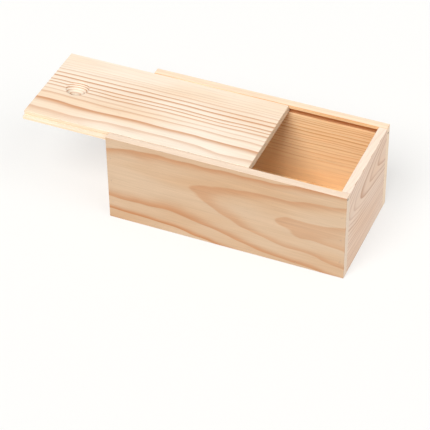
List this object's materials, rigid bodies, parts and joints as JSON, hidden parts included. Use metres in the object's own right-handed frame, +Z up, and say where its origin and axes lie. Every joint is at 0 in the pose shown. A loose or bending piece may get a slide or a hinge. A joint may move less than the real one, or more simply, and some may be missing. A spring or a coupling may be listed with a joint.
{
  "type": "soap loaf mould",
  "caption": "Rectangular pine loaf mould box with grooved side walls, a low end wall and a flush lid that slides out by a round thumb recess.",
  "frame": {"origin": "middle of the box's underside, on the bottom panel, at the level it rests on", "axes": "+X along the box towards the full-height end wall, the lid slides out towards -X; +Y towards the rear side wall; +Z up, out of the open top"},
  "size_m": [0.275, 0.1, 0.08],
  "materials": {
    "side_pine": "planed bare pine, no varnish",
    "end_pine": "planed bare pine, no varnish",
    "bottom_pine": "planed bare pine, no varnish",
    "lid_pine": "planed and sanded bare pine, no varnish",
    "pin_steel": "plain wire"
  },
  "bodies": {
    "box": {"front_side_wall": "side_pine", "rear_side_wall": "side_pine", "left_end_wall": "end_pine", "right_end_wall": "end_pine", "bottom_panel": "bottom_pine", "front_left_pin_1": "pin_steel", "front_left_pin_2": "pin_steel", "front_left_pin_3": "pin_steel", "front_right_pin_1": "pin_steel", "front_right_pin_2": "pin_steel", "front_right_pin_3": "pin_steel", "front_bottom_pin_1": "pin_steel", "front_bottom_pin_2": "pin_steel", "front_bottom_pin_3": "pin_steel", "front_bottom_pin_4": "pin_steel", "rear_left_pin_1": "pin_steel", "rear_left_pin_2": "pin_steel", "rear_left_pin_3": "pin_steel", "rear_right_pin_1": "pin_steel", "rear_right_pin_2": "pin_steel", "rear_right_pin_3": "pin_steel", "rear_bottom_pin_1": "pin_steel", "rear_bottom_pin_2": "pin_steel", "rear_bottom_pin_3": "pin_steel", "rear_bottom_pin_4": "pin_steel", "left_bottom_pin_1": "pin_steel", "left_bottom_pin_2": "pin_steel", "right_bottom_pin_1": "pin_steel", "right_bottom_pin_2": "pin_steel"},
    "lid": {"sliding_lid": "lid_pine"}
  },
  "joints": [
    {"name": "lid_slide", "type": "slide", "parent": "box", "child": "lid", "axis": [-1, 0, 0], "range_m": [-0.075, 0.1185]}
  ]
}
